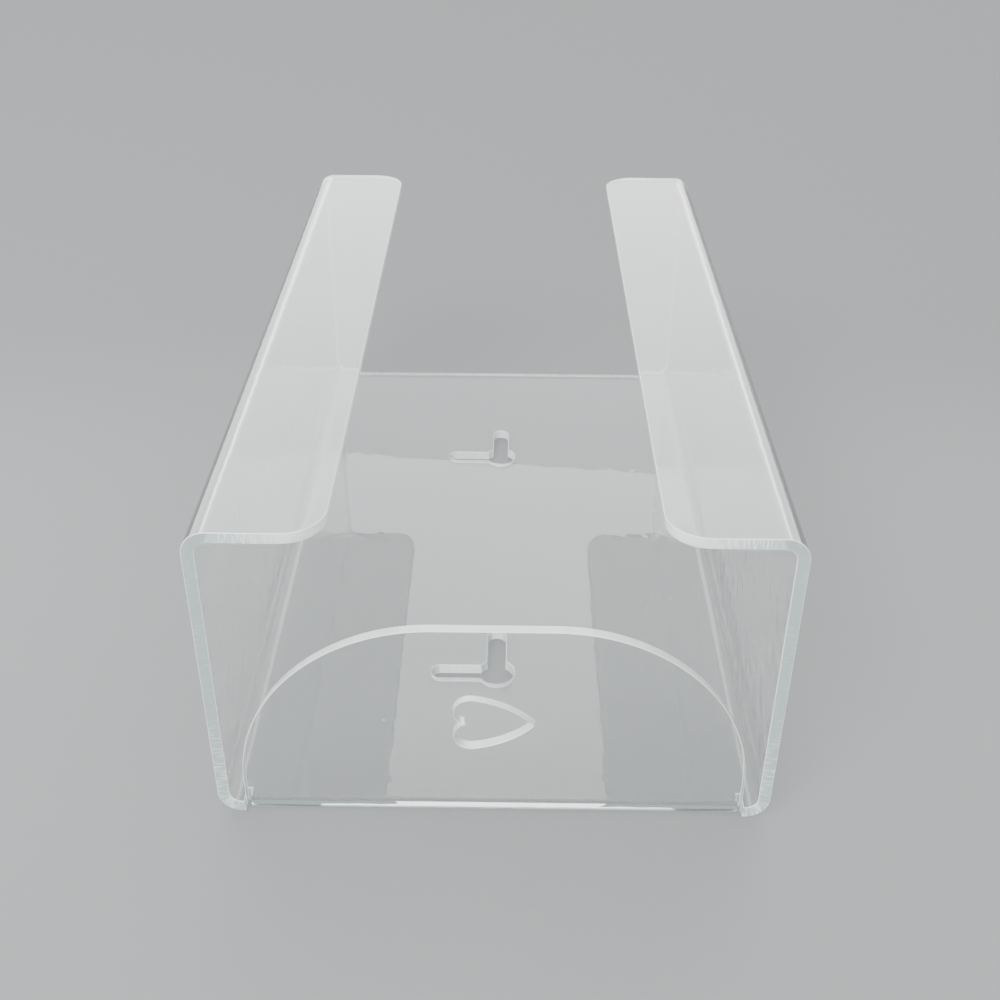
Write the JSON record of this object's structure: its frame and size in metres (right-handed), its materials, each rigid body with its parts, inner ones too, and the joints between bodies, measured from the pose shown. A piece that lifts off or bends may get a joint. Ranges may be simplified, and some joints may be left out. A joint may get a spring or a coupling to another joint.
{
  "type": "wall tissue box",
  "caption": "Clear acrylic wall box, bent from sheet, that holds a tissue or glove carton behind side flanges, with an arched end flap, a heart cut-out and keyholes in its back.",
  "frame": {"origin": "under the middle of the box's outline, on the outer face of the back, which meets the wall", "axes": "+Z out from the wall, +Y up the wall from the end flap to the open end, +X to the right as seen from the front"},
  "size_m": [0.14, 0.2416, 0.086],
  "materials": {
    "clear_acrylic": "gloss"
  },
  "bodies": {
    "root": {"holder": "clear_acrylic"}
  },
  "joints": []
}
